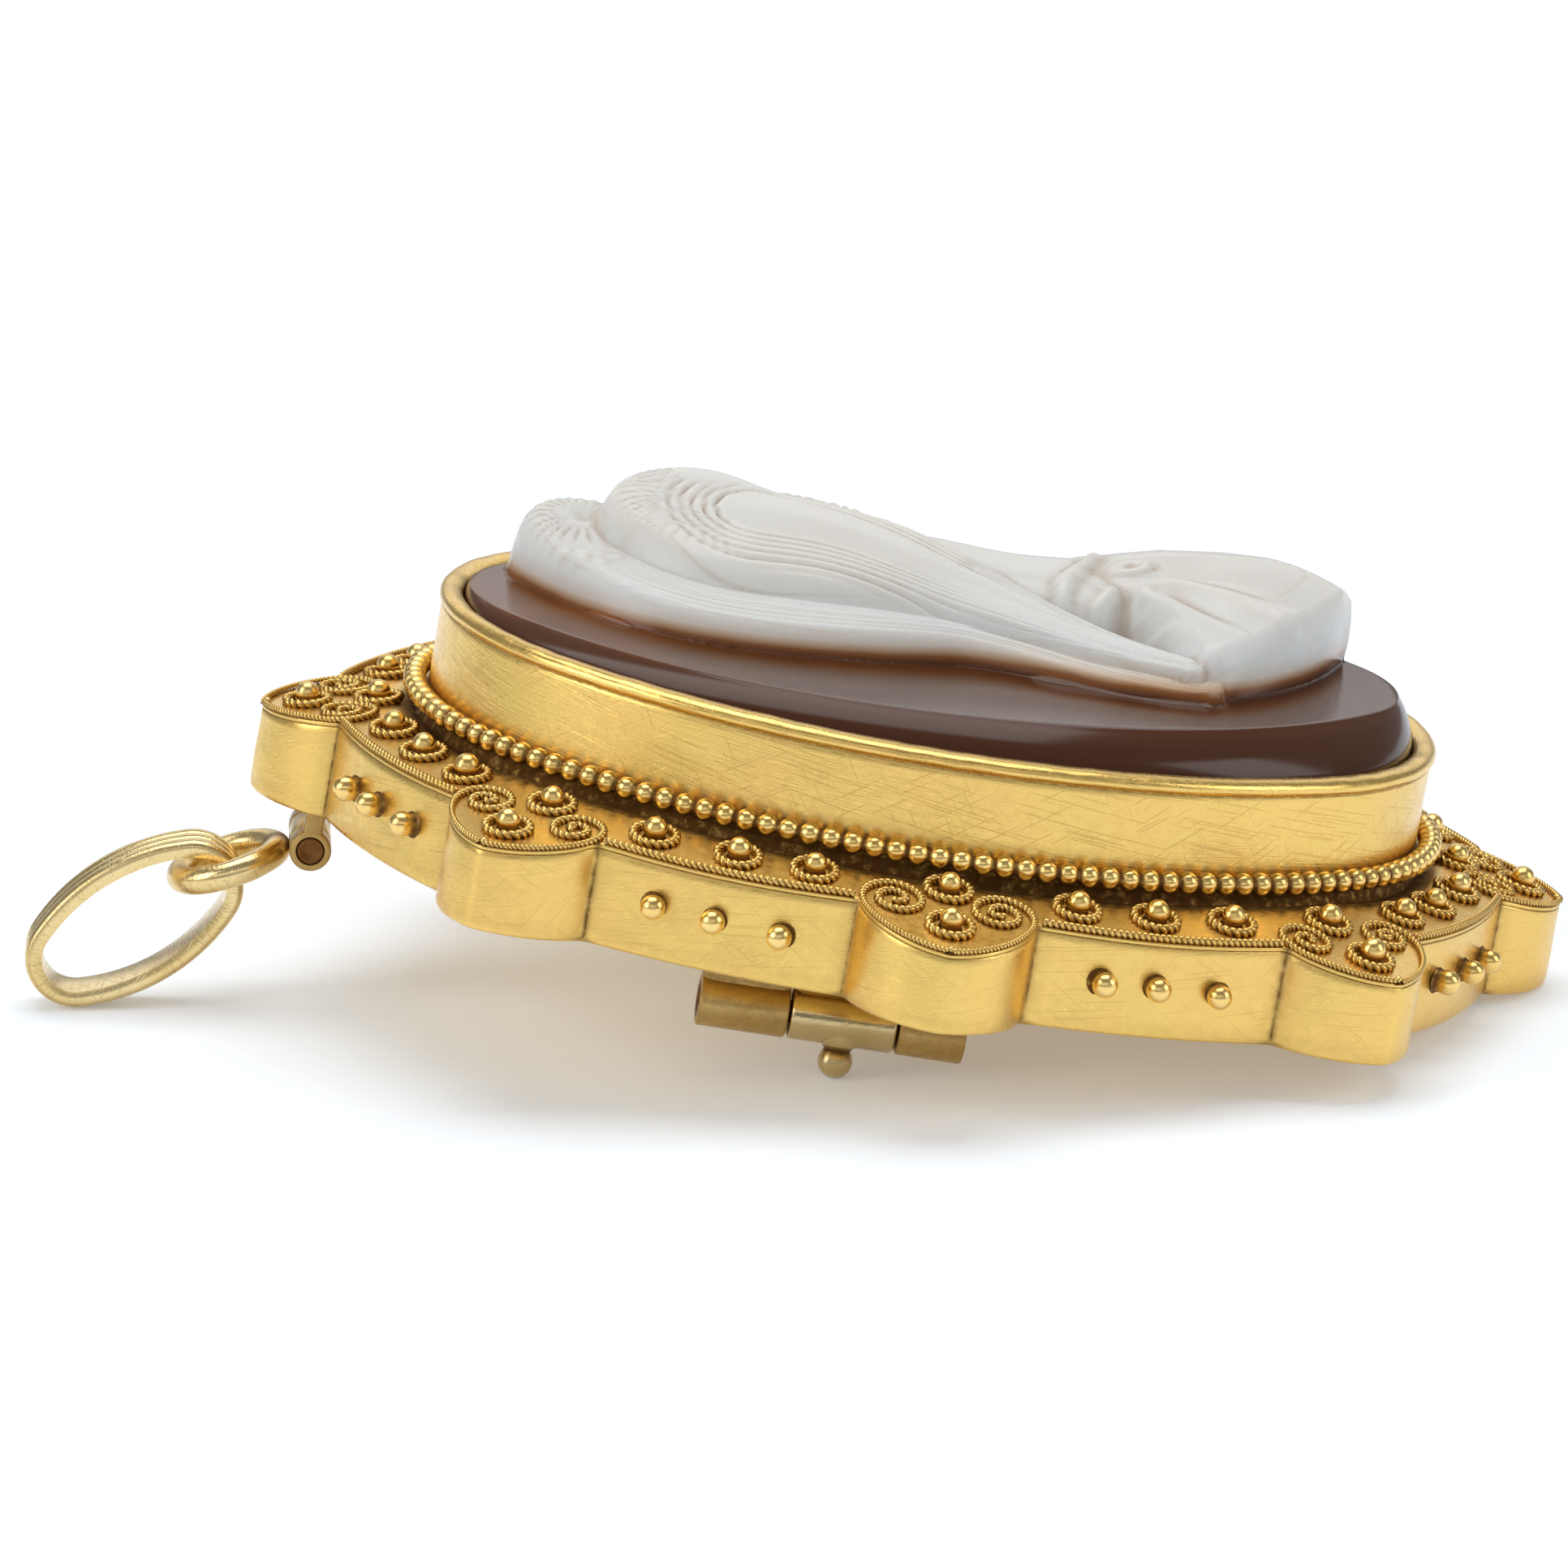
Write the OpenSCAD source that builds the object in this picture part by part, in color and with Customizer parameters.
// Cameo pendant that also serves as a brooch: a carved agate in a tall gold
// bezel, on a hollow eight-lobed case set with wire circles, spirals and balls.
// The jewel is worked out flat, on its own axes: x runs from the bail end to
// the foot end, y across, z up from the back of the case. lay() then tips it
// onto a table, where it stands on its foot lobe, the ball under its pin and
// its catch, with the bail end raised.

/* [Stone] */
// Half the length of the stone's field
stone_half_length = 21.2; // [20.6:0.1:22]
// Half the width of the stone's field
stone_half_width = 14.4; // [14:0.1:15]
// Radius of the two ends of the stone's field
stone_end_r = 7.5; // [7.2:0.1:8]
// Top of the brown field above the back of the case, at the stone's centre
field_z = 11.65; // [11.6:0.05:11.9]
// Slope of the field, which rises towards the foot end
field_slope = 2.15; // [2:0.05:2.2]
// How far the stone sits from the jewel's centre towards the bail
stone_shift = 0.43; // [0.36:0.01:0.46]
// Highest point of the carving above the field
relief_h = 5.1; // [4.6:0.1:5.4]
// Height of the stone's sloping edge, which the lip holds
stone_edge = 0.7; // [0.5:0.05:0.9]
// Thickness of the stone below its sloping edge
stone_base = 0.5; // [0.4:0.05:0.7]

/* [Bezel] */
// How far the drum stands outside the stone's field at its two ends
bezel_past_ends = 1.55; // [1.5:0.05:1.7]
// How far the drum stands outside the stone's field at its two sides
bezel_past_sides = 3.05; // [2.9:0.05:3.2]
// How much larger the radius of the drum's ends is than the field's
bezel_past_r = 6.8; // [6.4:0.1:7]
// Top of the lip above the back of the case
bezel_h = 10.6; // [10.3:0.05:11]
// Thickness of the drum's wall
bezel_t = 0.6; // [0.5:0.05:0.7]
// How far the lip folds in over the stone at its two ends
lip_in_ends = 0.9; // [0.8:0.05:1]
// How far the lip folds in over the stone at its two sides
lip_in_sides = 1.5; // [1.3:0.05:1.6]
// Thickness of the lip
lip_t = 0.45; // [0.35:0.05:0.5]
// Radius of a bead of the beaded wire
bead_r = 0.5; // [0.46:0.01:0.52]
// Height of the beads' centres above the back of the case
bead_z = 6.12; // [6:0.02:6.3]

/* [Case] */
// From the drum to the tip of an end lobe
end_reach = 7.25; // [7:0.05:7.6]
// From the drum to the tip of a side lobe
side_reach = 7.45; // [7.2:0.05:7.8]
// How far the tip of a corner lobe lies behind the tip of an end lobe
corner_in_x = 9.55; // [9.3:0.05:9.8]
// How far the tip of a corner lobe lies behind the tip of a side lobe
corner_in_y = 5.9; // [5.7:0.05:6.1]
// Direction in which a corner lobe points, from x
corner_turn = 54.5; // [53:0.5:56]
// Width of an end or side lobe at its root
lobe_w = 7.9; // [7.7:0.05:8.1]
// Width of a corner lobe at its root
corner_w = 7.6; // [7.5:0.05:7.8]
// How far an end lobe stands out of the walls
end_out = 3.4; // [3.2:0.05:3.6]
// How far a side lobe stands out of the walls
side_out = 3.8; // [3.6:0.05:3.9]
// How far a corner lobe stands out of the walls
corner_out = 3.5; // [3.3:0.05:3.7]
// Radius of the two arcs that meet at a lobe's tip
arch_r = 5.0; // [4.4:0.1:6]
// Height of the walls where they meet a lobe
wall_h = 4.55; // [4.3:0.05:4.7]
// Rise of the plate from the walls to its peak over the centre
plate_rise = 5.0; // [4.6:0.1:5.2]
// Bow of a wall outwards, between two lobes
wall_bow = 0.6; // [0.4:0.1:0.8]
// Thickness of the gold sheet
sheet_t = 0.5; // [0.4:0.05:0.6]

/* [Wire and balls] */
// Radius of a ball granule
ball_r = 0.55; // [0.48:0.01:0.58]
// Radius of the filigree wire
wire_r = 0.22; // [0.19:0.01:0.23]
// Radius of a wire circle, to the middle of its wire
circle_r = 0.96; // [0.9:0.01:0.98]
// Radius of a spiral's outer half turn, to the middle of its wire
spiral_r = 1.3; // [1.25:0.01:1.34]
// How much each half turn of a spiral is smaller than the one before
spiral_step = 0.31; // [0.29:0.01:0.32]

/* [Bail] */
// Outer radius of the bail hinge's knuckles
bail_knuckle_r = 0.95; // [0.9:0.01:1]
// Length of the bail hinge along y
bail_hinge_len = 5.0; // [4.8:0.1:5.4]
// Length of the middle knuckle of the bail hinge
bail_middle_len = 2.4; // [2:0.1:2.6]
// Radius of the bail hinge's rivet
bail_rivet_r = 0.6; // [0.5:0.01:0.62]
// Centre of the bail hinge below the back of the case
bail_drop = 1.95; // [1.9:0.05:2.1]
// Radius of the bail ring, to the middle of its wire
bail_ring_r = 2.3; // [2.25:0.05:2.4]
// Radius of the bail ring's wire
bail_wire_r = 0.63; // [0.56:0.01:0.65]
// Slope of the bail ring below the back of the case
bail_slope = 26; // [24:1:28]
// Half the outer length of the oval link
link_half_length = 5.45; // [5.4:0.05:5.6]
// Half the outer width of the oval link
link_half_width = 3.0; // [2.95:0.05:3.1]
// Outer radius of the oval link's two ends
link_end_r = 2.3; // [2.2:0.05:2.4]
// Thickness of the oval link's band
link_t = 0.85; // [0.75:0.05:0.9]
// Depth of the oval link's band
link_depth = 2.6; // [2.4:0.1:2.7]
// Slope of the oval link, from the table
link_slope = 31; // [30:0.5:31.5]

/* [Brooch pin] */
// Outer radius of the brooch hinge's knuckles
pin_knuckle_r = 1.2; // [1.14:0.02:1.26]
// Centre of the brooch hinge below the back of the case
pin_drop = 2.9; // [2.85:0.05:3]
// Centre of the brooch hinge from the jewel's middle line
pin_hinge_y = 13.9; // [13.6:0.1:14.3]
// Middle of the pin's knuckle from the jewel's centre, towards the bail
pin_x = 3.0; // [2.8:0.1:3.2]
// Length of the pin's own knuckle
pin_middle_len = 4.8; // [4.5:0.1:5]
// Length of the fixed knuckle on the bail side
pin_outer_len = 4.0; // [3.7:0.1:4.3]
// Length of the fixed knuckle on the foot side
pin_inner_len = 3.0; // [2.7:0.1:3.3]
// Radius of the brooch hinge's rivet
pin_rivet_r = 0.5; // [0.42:0.01:0.54]
// Radius of the ball under the pin's knuckle
foot_ball_r = 0.78; // [0.72:0.01:0.82]
// Radius of the pin's stem
stem_r = 0.42; // [0.38:0.01:0.45]
// The catch from the jewel's middle line
catch_y = 14.2; // [13.9:0.1:14.5]
// Width of the catch
catch_w = 3.2; // [2.9:0.1:3.5]
// Thickness of the catch
catch_t = 1.4; // [1.2:0.1:1.6]

/* [Lie] */
// Angle at which the jewel lies on a table, bail end up
tilt = 9.7; // [9.3:0.1:10]

/* [Hidden] */
$fn = 48;

gold = [0.86, 0.68, 0.30];
pale_gold = [0.80, 0.70, 0.42];
agate = [0.93, 0.90, 0.87];

// Gap left between two pieces that are set into each other
set_gap = 0.05;
// Gap all round a rivet in its knuckles, and between knuckles end to end
run_gap = 0.03;
end_gap = 0.08;
// How far a soldered piece sinks into what carries it
sink = 0.08;

// The drum stands round the stone, and the case round the drum
drum = [stone_half_length + bezel_past_ends, stone_half_width + bezel_past_sides, stone_end_r + bezel_past_r];
case_half_length = drum[0] + end_reach;
case_half_width = drum[1] + side_reach;
corner_tip_x = case_half_length - corner_in_x;
corner_tip_y = case_half_width - corner_in_y;

// The bail's hinge from the jewel's centre, the ring's centre from the hinge,
// and the link's centre from the ring's. The ring's wire is sunk a little into
// its knuckle.
bail_inset = 3.1;
bail_x = case_half_length - bail_inset;
ring_sink = 0.0315;
ring_out = bail_knuckle_r + bail_ring_r + bail_wire_r - ring_sink;
link_to_ring = link_half_length - link_t / 2;

// The jewel on the table: the tip of its foot lobe is the case's lowest point
lift = case_half_length * sin(tilt);
// Its box on the table runs from the oval link's end to the foot lobe's tip
tip_z = wall_h - plate_rise * end_out / (case_half_length - end_out);
box_from = -bail_x * cos(tilt) - bail_drop * sin(tilt) - ring_out * cos(bail_slope - tilt)
           - link_to_ring * cos(link_slope) - (link_half_length - link_end_r) * cos(link_slope) - link_end_r;
box_to = case_half_length * cos(tilt) + tip_z * sin(tilt);
module lay() {
    translate([-(box_from + box_to) / 2, 0, lift]) rotate([0, tilt, 0]) children();
}
// Height above the case's back of a point that lies h above the table, at x
function over_table(h, x) = (h - lift + x * sin(tilt)) / cos(tilt);

function along(a) = [cos(a), sin(a)];
function across(a) = [-sin(a), cos(a)];
function reversed(l) = [for (i = [len(l) - 1:-1:0]) l[i]];

// The eight lobes, counter-clockwise: direction, tip, how far out, and width
lobes = [
    [0, [case_half_length, 0], end_out, lobe_w],
    [corner_turn, [corner_tip_x, corner_tip_y], corner_out, corner_w],
    [90, [0, case_half_width], side_out, lobe_w],
    [180 - corner_turn, [-corner_tip_x, corner_tip_y], corner_out, corner_w],
    [180, [-case_half_length, 0], end_out, lobe_w],
    [180 + corner_turn, [-corner_tip_x, -corner_tip_y], corner_out, corner_w],
    [270, [0, -case_half_width], side_out, lobe_w],
    [360 - corner_turn, [corner_tip_x, -corner_tip_y], corner_out, corner_w]];
function turn(k) = lobes[k % 8][0];
function out(k) = lobes[k % 8][2];
function half_w(k) = lobes[k % 8][3] / 2;
// The middle of a lobe's root, and its two root corners
function middle(k) = lobes[k % 8][1] - along(turn(k)) * out(k);
function corner(k, side) = middle(k) + across(turn(k)) * side * half_w(k);

// A wall's straight chord from lobe k to the next: direction outwards, distance
function wall_turn(k) =
    let (step = corner(k + 1, -1) - corner(k, 1))
    atan2(step[1], step[0]) - 90;
function wall_d(k) = corner(k, 1) * along(wall_turn(k));
function wall_len(k) = norm(corner(k + 1, -1) - corner(k, 1));
function wall_mid(k) = (corner(k, 1) + corner(k + 1, -1)) / 2 * across(wall_turn(k));

// A lobe in its own axes, u outwards and v across, is a pointed arch of two
// arcs. `in` draws the whole outline that far inside itself, for the hollow.
arch_steps = 8;
function arch_c(k) =
    let (root = [0, half_w(k)], tip = [out(k), 0], chord = tip - root,
         rise = sqrt(arch_r * arch_r - chord * chord / 4))
    (root + tip) / 2 + [chord[1], -chord[0]] / norm(chord) * rise;
function arch(k, side, in) =
    let (c = arch_c(k), from = atan2(half_w(k) - c[1], -c[0]), to = acos(-c[1] / (arch_r - in)) - 90)
    [for (i = [0:arch_steps])
        let (a = from + (-to - from) * i / arch_steps)
        [c[0] + (arch_r - in) * cos(a), side * (c[1] + (arch_r - in) * sin(a))]];
function lobe_points(k, in) =
    [for (p = concat(arch(k, -1, in), [for (i = [1:arch_steps]) reversed(arch(k, 1, in))[i]]))
        middle(k) + along(turn(k)) * p[0] + across(turn(k)) * p[1]];

// A wall's points, bowed in a shallow curve
bow_steps = 7;
function wall_points(k, in) =
    let (n = along(wall_turn(k)), ends = in > 0 ? 0 : 1)
    [for (i = [ends:bow_steps - ends])
        let (f = i / bow_steps)
        corner(k, 1) + (corner(k + 1, -1) - corner(k, 1)) * f + n * (wall_bow * 4 * f * (1 - f) - in)];
function outline(in) = [for (k = [0:7]) each concat(lobe_points(k, in), wall_points(k, in))];

// The plate is a low pyramid over the roots of the lobes. All its facets meet
// at one peak over the centre, so each facet's slope follows from its distance.
peak_z = wall_h + plate_rise;
peak_reach = 1.6;
module pyramid(drop) {
    ring = [for (k = [0:7]) each [corner(k, -1) * peak_reach, corner(k, 1) * peak_reach]];
    n = len(ring);
    rim_z = peak_z - plate_rise * peak_reach;
    polyhedron(
        points = concat([[0, 0, peak_z - drop]],
                        [for (p = ring) [p[0], p[1], rim_z - drop]],
                        [for (p = ring) [p[0], p[1], rim_z - peak_z]]),
        faces = concat([for (i = [0:n - 1]) [0, (i + 1) % n + 1, i + 1]],
                       [for (i = [0:n - 1])
                           [i + 1, (i + 1) % n + 1, (i + 1) % n + 1 + n, i + 1 + n]],
                       [[for (i = [0:n - 1]) i + 1 + n]]));
}
// Seats children on the facet that faces `way` at distance d: u outwards, v along
module on_plate(way, d, u, v) {
    rotate([0, 0, way])
        translate([u, v, peak_z - plate_rise * u / d])
            rotate([0, atan2(plate_rise, d), 0])
                children();
}

// An oval is four arcs, written [half length, half width, radius of its ends]
function side_r(o) = (o[0] * o[0] + o[1] * o[1] - 2 * o[0] * o[2]) / (2 * (o[1] - o[2]));
// Half the angle of an end arc
function swing(o) = atan2(side_r(o) - o[1], o[0] - o[2]);
// Its point whose outward normal has direction a, `out` from the oval
function oval_point(o, a, out) =
    let (q = (a + 180) % 360 - 180)
    abs(q) <= swing(o) ? [o[0] - o[2], 0] + along(q) * (o[2] + out)
    : abs(q) >= 180 - swing(o) ? [o[2] - o[0], 0] + along(q) * (o[2] + out)
    : [0, (q > 0 ? 1 : -1) * (o[1] - side_r(o))] + along(q) * (side_r(o) + out);
oval_steps = 96;
function oval_turn(i) = (i + 0.5) * 360 / oval_steps;
module oval_plate(o, out, z0, z1) {
    translate([0, 0, z0]) linear_extrude(z1 - z0)
        polygon([for (i = [0:oval_steps - 1]) oval_point(o, oval_turn(i), out)]);
}
// Carries a closed section round an oval: a list of one section for each step.
// Each of its points is the distance out from the oval and the height, and
// they run clockwise.
module round_oval(o, sections) {
    n = len(sections[0]);
    count = oval_steps * n;
    polyhedron(
        points = [for (i = [0:oval_steps - 1]) for (p = sections[i])
            let (q = oval_point(o, oval_turn(i), p[0])) [q[0], q[1], p[1]]],
        faces = [for (i = [0:oval_steps - 1]) for (j = [0:n - 1])
            let (a = i * n + j, b = i * n + (j + 1) % n, c = (b + n) % count, d = (a + n) % count)
            each [[a, b, c], [a, c, d]]]);
}

// Filigree: a ball, a wire circle round a ball, and a spiral of half turns
module ball() {
    translate([0, 0, ball_r - sink]) sphere(r = ball_r);
}
module wire_circle() {
    translate([0, 0, wire_r - sink]) rotate_extrude() translate([circle_r, 0]) circle(r = wire_r);
    ball();
}
half_turns = 4;
module spiral() {
    for (i = [0:half_turns - 1])
        translate([0, i % 2 == 0 ? 0 : -spiral_step, wire_r - sink])
            rotate([0, 0, 90 + (i % 2) * 180])
                rotate_extrude(angle = 180)
                    translate([spiral_r - i * spiral_step, 0]) circle(r = wire_r);
}

// Where the filigree sits: on a lobe from the middle of its root, and on a wall
inner_circle_u = -1.76;
outer_circle_u = 1.36;
spiral_u = -0.25;
spiral_v = 2.32;
wall_circle_in = 1.9;
wall_circle_step = 0.31;
wall_ball_step = 0.24;
wall_ball_share = 0.52;
wall_ball_z = wall_ball_share * wall_h;

module lobe_filigree(k) {
    d = middle(k) * along(turn(k));
    v = middle(k) * across(turn(k));
    for (u = [inner_circle_u, outer_circle_u])
        on_plate(turn(k), d, d + u, v) wire_circle();
    on_plate(turn(k), d, d + spiral_u, v + spiral_v) spiral();
    on_plate(turn(k), d, d + spiral_u, v - spiral_v) mirror([0, 1, 0]) spiral();
}
module wall_filigree(k) {
    for (i = [-1:1]) {
        f = 0.5 + i * wall_circle_step;
        bow = wall_bow * 4 * f * (1 - f);
        on_plate(wall_turn(k), wall_d(k), wall_d(k) + bow - wall_circle_in,
                 wall_mid(k) + i * wall_circle_step * wall_len(k))
            wire_circle();
        g = 0.5 + i * wall_ball_step;
        out = wall_d(k) + wall_bow * 4 * g * (1 - g);
        rotate([0, 0, wall_turn(k)])
            translate([out + ball_r - sink, wall_mid(k) + i * wall_ball_step * wall_len(k), wall_ball_z])
                sphere(r = ball_r);
    }
}

// A knuckle along y or x, with the lug that carries it under the case
module knuckle(r, bore_r, len, drop, lug_w, way) {
    difference() {
        rotate([0, 0, way])
            union() {
                rotate([90, 0, 0]) cylinder(r = r, h = len, center = true);
                translate([-lug_w / 2, -len / 2, 0]) cube([lug_w, len, drop + sink]);
            }
        rotate([0, 0, way]) rotate([90, 0, 0]) cylinder(r = bore_r, h = 2 * len, center = true);
    }
}
bail_side_len = (bail_hinge_len - bail_middle_len) / 2 - end_gap;
module bail_knuckles() {
    for (s = [-1, 1])
        translate([-bail_x, s * (bail_hinge_len - bail_side_len) / 2, -bail_drop])
            knuckle(bail_knuckle_r, bail_rivet_r + run_gap, bail_side_len, bail_drop, bail_knuckle_r, 0);
}
pin_outer_x = -pin_x - pin_middle_len / 2 - end_gap - pin_outer_len / 2;
pin_inner_x = -pin_x + pin_middle_len / 2 + end_gap + pin_inner_len / 2;
module pin_knuckles() {
    for (k = [[pin_outer_x, pin_outer_len], [pin_inner_x, pin_inner_len]])
        translate([k[0], -pin_hinge_y, -pin_drop])
            knuckle(pin_knuckle_r, pin_rivet_r + run_gap, k[1], pin_drop, pin_knuckle_r, 90);
}
// The catch is a plain fork, open away from the case. One lower corner of it
// stands on the table.
stem_gap = 0.09;
catch_slot = 2 * (stem_r + stem_gap);
module catch_fork() {
    foot = over_table(0, catch_w / 2 - pin_x);
    translate([-pin_x, catch_y, 0])
        difference() {
            translate([-catch_w / 2, -catch_t / 2, foot]) cube([catch_w, catch_t, sink - foot]);
            translate([-catch_slot / 2, -catch_t, 2 * foot]) cube([catch_slot, 2 * catch_t, -pin_drop + catch_slot / 2 - 2 * foot]);
        }
}

module case() {
    plate_drop = sheet_t / cos(atan2(plate_rise, case_half_width - side_out));
    color(gold) lay() {
        difference() {
            intersection() {
                linear_extrude(peak_z) polygon(outline(0));
                pyramid(0);
            }
            intersection() {
                translate([0, 0, sheet_t]) linear_extrude(peak_z) polygon(outline(sheet_t));
                pyramid(plate_drop);
            }
            oval_plate(drum, set_gap, sheet_t + wall_h / 2, peak_z);
        }
        for (k = [0:7]) lobe_filigree(k);
        for (k = [0:7]) wall_filigree(k);
        bail_knuckles();
        pin_knuckles();
        catch_fork();
    }
}

// The bezel: a drum with its lip, a ledge for the stone and a shelf for the beads
bead_out = 0.65;
shelf_out = bead_out + 0.45;
shelf_z = bead_z - 0.3;
shelf_t = 0.3;
stone_gap = 0.06;
stone_z = bezel_h - lip_t - stone_edge - stone_base;
ledge_in = 2.4;
ledge_t = 0.6;
drum_z = sheet_t + set_gap;
lip_z = stone_z + stone_base;
// The lip stands a little proud of the drum, rounds over and folds in, least
// at the two ends. Its section is given as how far in, and how far down from
// its top in thicknesses of the lip.
lip_out = 0.12;
lip_skin = 0.05;
function lip_in(a) = lip_in_sides - (lip_in_sides - lip_in_ends) * cos(a) * cos(a);
function lip_section(in) = concat(
    [[lip_skin, lip_z], [lip_skin, bezel_h - 1.6 * lip_t]],
    [for (p = [[-lip_out, 1.1], [-lip_out, 0.5], [lip_out, 0.1], [0.3 * in, 0],
               [0.7 * in, 0.08], [in, 0.45], [in, 1]])
        [-p[0], bezel_h - p[1] * lip_t]],
    [[-bezel_t - lip_skin, lip_z + set_gap]]);
// Beads at equal steps along the oval's own length
end_arc = 2 * swing(drum) * PI / 180 * (drum[2] + bead_out);
side_arc = (180 - 2 * swing(drum)) * PI / 180 * (side_r(drum) + bead_out);
bead_overlap = 0.03;
bead_pitch = 2 * bead_r - bead_overlap;
bead_pairs = floor((end_arc + side_arc) / bead_pitch);
function bead_turn(s) =
    s < end_arc ? -swing(drum) + 2 * swing(drum) * s / end_arc
    : swing(drum) + (180 - 2 * swing(drum)) * (s - end_arc) / side_arc;
module beads() {
    for (half = [0, 180]) rotate([0, 0, half])
        for (i = [0:bead_pairs - 1]) {
            p = oval_point(drum, bead_turn((i + 0.5) * (end_arc + side_arc) / bead_pairs), bead_out);
            translate([p[0], p[1], bead_z]) sphere(r = bead_r);
        }
}
module bezel() {
    color(gold) lay() {
        difference() {
            union() {
                oval_plate(drum, 0, drum_z, lip_z + stone_edge / 2);
                oval_plate(drum, shelf_out, shelf_z - shelf_t, shelf_z);
            }
            oval_plate(drum, -ledge_in, 0, bezel_h);
            oval_plate(drum, -bezel_t, stone_z - stone_gap, bezel_h);
            oval_plate(drum, -bezel_t, 0, stone_z - stone_gap - ledge_t);
        }
        round_oval(drum, [for (i = [0:oval_steps - 1]) lip_section(lip_in(oval_turn(i)))]);
        beads();
    }
}

// The cameo. Its carving is a set of tapering strokes with rounded backs, one
// row for each station, from the stone's own centre: x and y as shares of the
// field's half length and half width, then the half width as a share of the
// field's half width, and the height as a share of the relief's.
stone = [stone_half_length, stone_half_width, stone_end_r];
outer_veil = [[-0.74, 0.24, 0.22, 0.56], [-0.68, 0.03, 0.22, 0.55], [-0.55, -0.17, 0.23, 0.53],
              [-0.33, -0.22, 0.24, 0.49], [-0.15, -0.21, 0.22, 0.45], [0.03, -0.15, 0.18, 0.39],
              [0.23, -0.22, 0.15, 0.29], [0.44, -0.36, 0.15, 0.25], [0.55, -0.38, 0.12, 0.22]];
inner_veil = [[-0.49, 0.08, 0.35, 1.00], [-0.36, 0.01, 0.40, 0.98], [-0.17, 0.01, 0.36, 0.88],
              [-0.00, -0.01, 0.28, 0.67], [0.16, -0.12, 0.17, 0.49], [0.33, -0.29, 0.12, 0.37],
              [0.52, -0.37, 0.08, 0.31]];
head = [[-0.48, 0.31, 0.29, 1.00], [-0.27, 0.33, 0.31, 0.93]];
neck = [[-0.09, 0.22, 0.24, 0.82], [0.05, 0.19, 0.24, 0.73], [0.19, 0.17, 0.28, 0.65]];
bust = [[0.32, 0.14, 0.35, 0.75], [0.47, 0.17, 0.39, 0.84], [0.63, 0.21, 0.35, 0.91],
        [0.66, 0.32, 0.34, 0.89]];
near_shoulder = [[0.46, -0.28, 0.24, 0.57], [0.56, -0.21, 0.25, 0.67], [0.63, 0.00, 0.26, 0.78]];
strokes = [outer_veil, inner_veil, head, neck, bust, near_shoulder];

// Height of one stroke between two stations, at a point p. The higher its
// power, the flatter its back and the steeper its sides.
carve_power = 5;
function stroke_z(p, a, b) =
    let (pa = [a[0] * stone_half_length, a[1] * stone_half_width],
         pb = [b[0] * stone_half_length, b[1] * stone_half_width],
         run = pb - pa, t = min(1, max(0, (p - pa) * run / (run * run))),
         q = norm(p - pa - run * t) / ((a[2] + (b[2] - a[2]) * t) * stone_half_width))
    q >= 1 ? 0 : relief_h * (a[3] + (b[3] - a[3]) * t) * (1 - pow(q, carve_power));
function relief_z(p) = max([for (s = strokes) for (i = [0:len(s) - 2]) stroke_z(p, s[i], s[i + 1])]);

// Below its field the stone's side bulges down to the lip. A row for each ring
// of points: how far out to the lip's edge and how far down to it, as shares.
side_rows = [[0.08, 0.1], [0.35, 0.22], [0.75, 0.5], [1, 1]];
sectors = 96;
rings = 36;
function sector_turn(i) = i * 360 / sectors;
function field_at(x) = field_z + x * tan(field_slope);
module cameo() {
    centre = [-stone_shift, 0];
    edge_z = stone_z + stone_base + stone_edge;
    rim = [for (i = [0:sectors - 1]) oval_point(stone, sector_turn(i), 0)];
    held = [for (i = [0:sectors - 1]) oval_point(drum, sector_turn(i), -lip_in(sector_turn(i)) - stone_gap)];
    base = [for (i = [0:sectors - 1]) oval_point(drum, sector_turn(i), -bezel_t - stone_gap)];
    top_points = [for (j = [1:rings]) for (p = rim)
        let (q = p * j / rings) [q[0] - stone_shift, q[1], field_at(q[0]) + relief_z(q)]];
    side_points = [for (s = side_rows) for (i = [0:sectors - 1])
        let (q = (rim[i] + centre) * (1 - s[0]) + held[i] * s[0], z = field_at(rim[i][0]))
        [q[0], q[1], z + (edge_z - z) * s[1]]];
    base_points = [for (z = [edge_z - stone_edge, stone_z]) for (p = base) [p[0], p[1], z]];
    count = rings + len(side_rows) + 2;
    color(agate) lay()
        polyhedron(
            points = concat([[centre[0], centre[1], field_z + relief_z([0, 0])]],
                            top_points, side_points, base_points),
            faces = concat(
                [for (i = [0:sectors - 1]) [0, (i + 1) % sectors + 1, i + 1]],
                [for (j = [0:count - 2]) for (i = [0:sectors - 1])
                    let (a = 1 + j * sectors + i, b = 1 + j * sectors + (i + 1) % sectors)
                    each [[a, b, b + sectors], [a, b + sectors, a + sectors]]],
                [[for (i = [0:sectors - 1]) 1 + (count - 1) * sectors + i]]));
}

// The bail: its ring slopes away from the hinge, and the link hangs through it
module bail_ring() {
    color(pale_gold) lay()
        translate([-bail_x, 0, -bail_drop])
            difference() {
                union() {
                    rotate([90, 0, 0]) cylinder(r = bail_knuckle_r, h = bail_middle_len, center = true);
                    rotate([0, -bail_slope, 0]) translate([-ring_out, 0, 0])
                        rotate_extrude() translate([bail_ring_r, 0]) circle(r = bail_wire_r);
                }
                rotate([90, 0, 0]) cylinder(r = bail_rivet_r + run_gap, h = 2 * bail_middle_len, center = true);
            }
}
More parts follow.
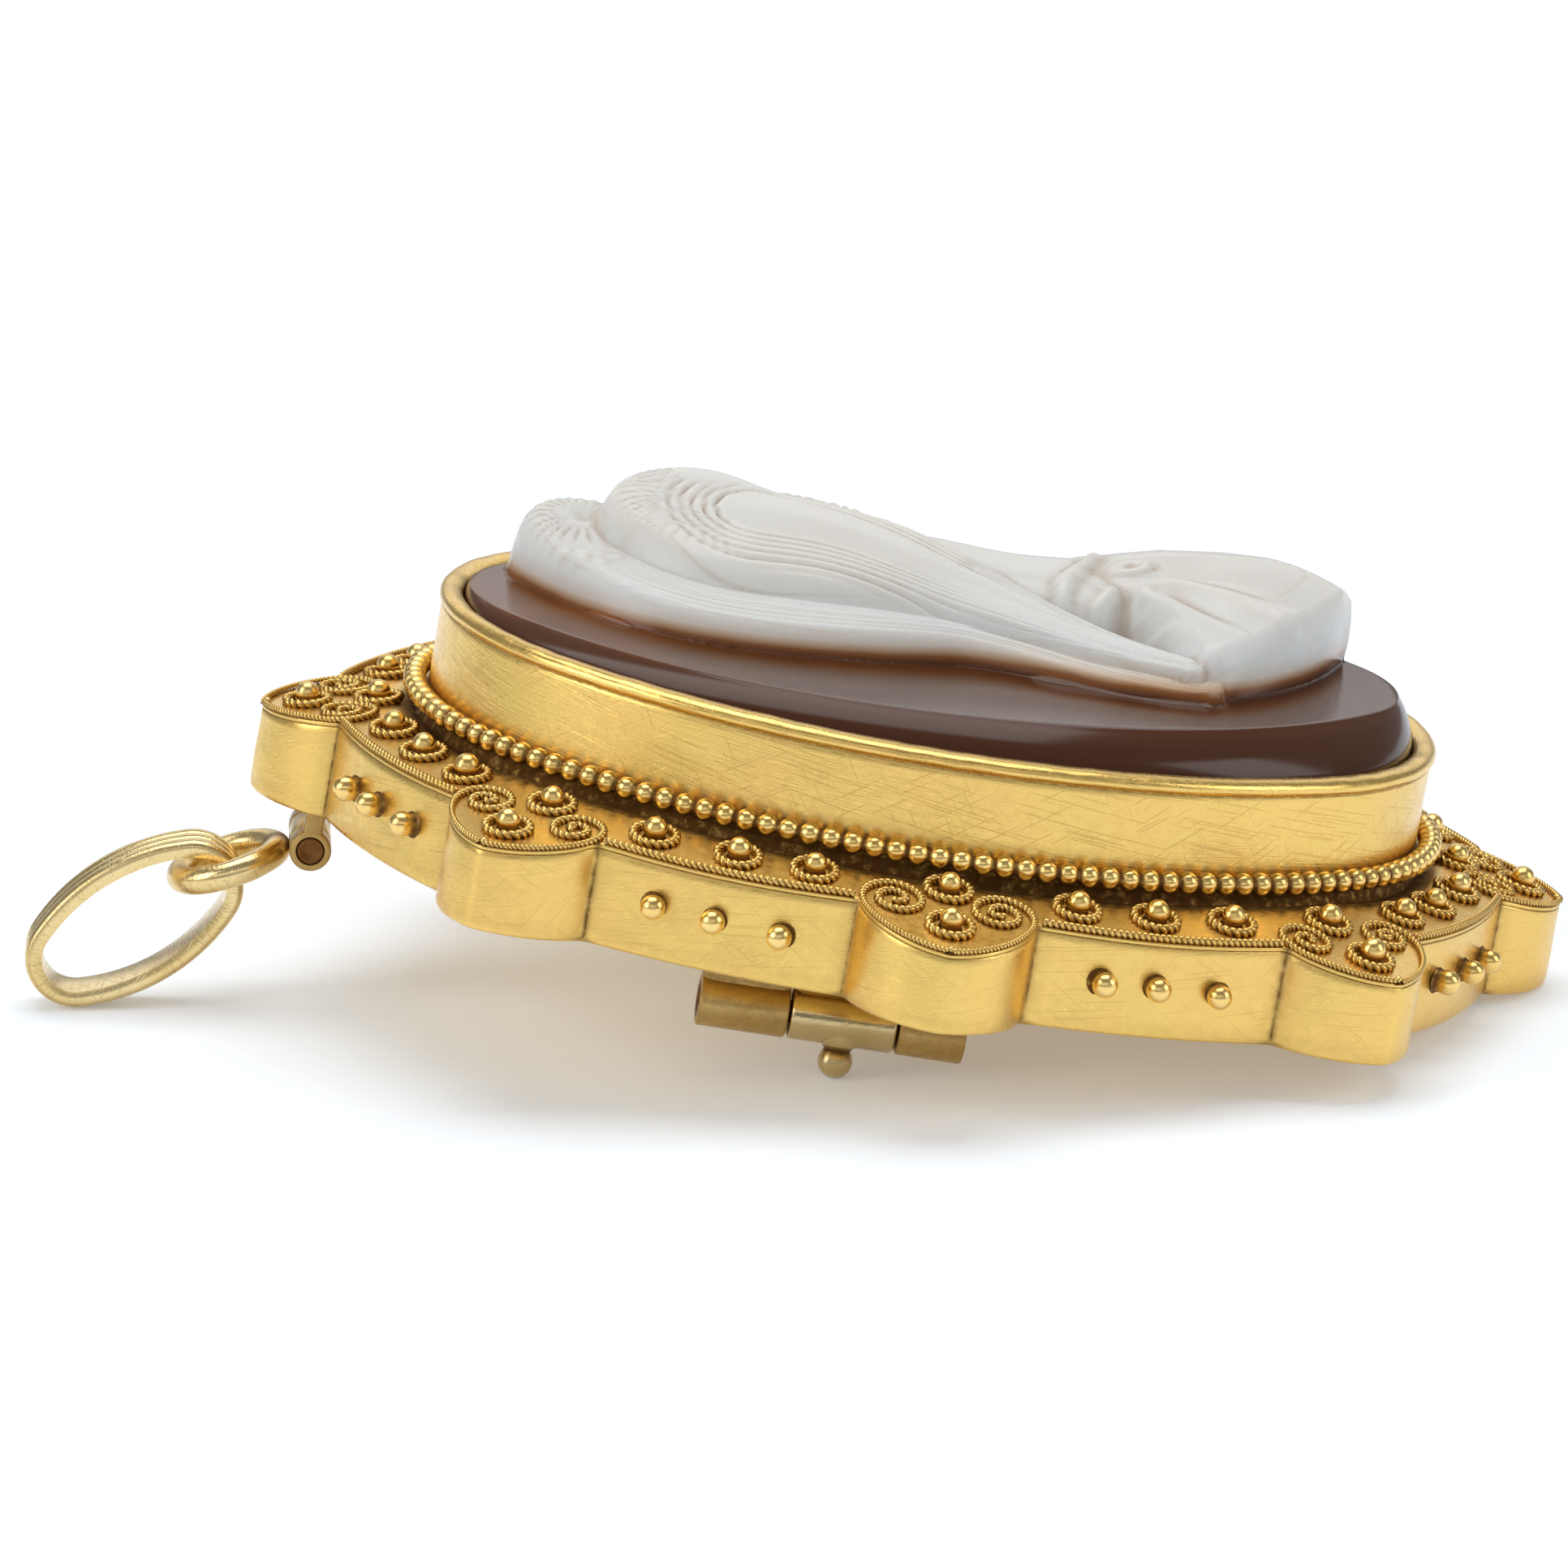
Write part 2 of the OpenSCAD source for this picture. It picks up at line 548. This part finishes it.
// The link's band: flat inside and reeded outside, carried round its oval
reeds = 3;
reed_w = link_depth / reeds;
reed_shape = [[0.15, 0.25], [0.5, 0], [0.85, 0.25]];
link_chamfer = 0.1;
link_profile = concat(
    [[-link_t, link_depth / 2 - link_chamfer], [-link_t / 2, link_depth / 2]],
    [for (i = [0:reeds - 1]) for (p = reed_shape) [-p[1] * link_t, link_depth / 2 - (i + p[0]) * reed_w]],
    [[-link_t / 2, -link_depth / 2], [-link_t, -link_depth / 2 + link_chamfer]]);
module bail_link() {
    ring_c = [-bail_x - ring_out * cos(bail_slope), -bail_drop - ring_out * sin(bail_slope)];
    slope = link_slope + tilt;
    c = ring_c - along(slope) * link_to_ring;
    color(pale_gold) lay()
        translate([c[0], 0, c[1]]) rotate([0, -slope, 0]) rotate([90, 0, 0])
            round_oval([link_half_length, link_half_width, link_end_r],
                       [for (i = [0:oval_steps - 1]) link_profile]);
}
module bail_rivet() {
    color(gold) lay()
        translate([-bail_x, 0, -bail_drop]) rotate([90, 0, 0])
            cylinder(r = bail_rivet_r, h = bail_hinge_len, center = true);
}

// The brooch pin: its own knuckle, the ball under it and the stem to the catch
foot_ball_z = over_table(foot_ball_r, -pin_x);
foot_neck_r = 0.585;
stem_end = catch_y + catch_t;
point_len = 2.5;
module brooch_pin() {
    color(pale_gold) lay() {
        difference() {
            union() {
                translate([-pin_x, -pin_hinge_y, -pin_drop]) rotate([0, 90, 0])
                    cylinder(r = pin_knuckle_r, h = pin_middle_len, center = true);
                translate([-pin_x, -pin_hinge_y, foot_ball_z]) {
                    sphere(r = foot_ball_r);
                    cylinder(r = foot_neck_r, h = -pin_drop - foot_ball_z);
                }
                translate([-pin_x, -pin_hinge_y, -pin_drop]) rotate([-90, 0, 0]) {
                    cylinder(r = stem_r, h = pin_hinge_y + stem_end - point_len);
                    translate([0, 0, pin_hinge_y + stem_end - point_len])
                        cylinder(r1 = stem_r, r2 = stem_r / 4, h = point_len);
                }
            }
            translate([-pin_x, -pin_hinge_y, -pin_drop]) rotate([0, 90, 0])
                cylinder(r = pin_rivet_r + run_gap, h = 2 * pin_middle_len, center = true);
        }
    }
}
module pin_rivet() {
    from = pin_outer_x - pin_outer_len / 2;
    to = pin_inner_x + pin_inner_len / 2;
    color(gold) lay()
        translate([from, -pin_hinge_y, -pin_drop]) rotate([0, 90, 0]) cylinder(r = pin_rivet_r, h = to - from);
}

case();
bezel();
cameo();
bail_ring();
bail_link();
bail_rivet();
brooch_pin();
pin_rivet();
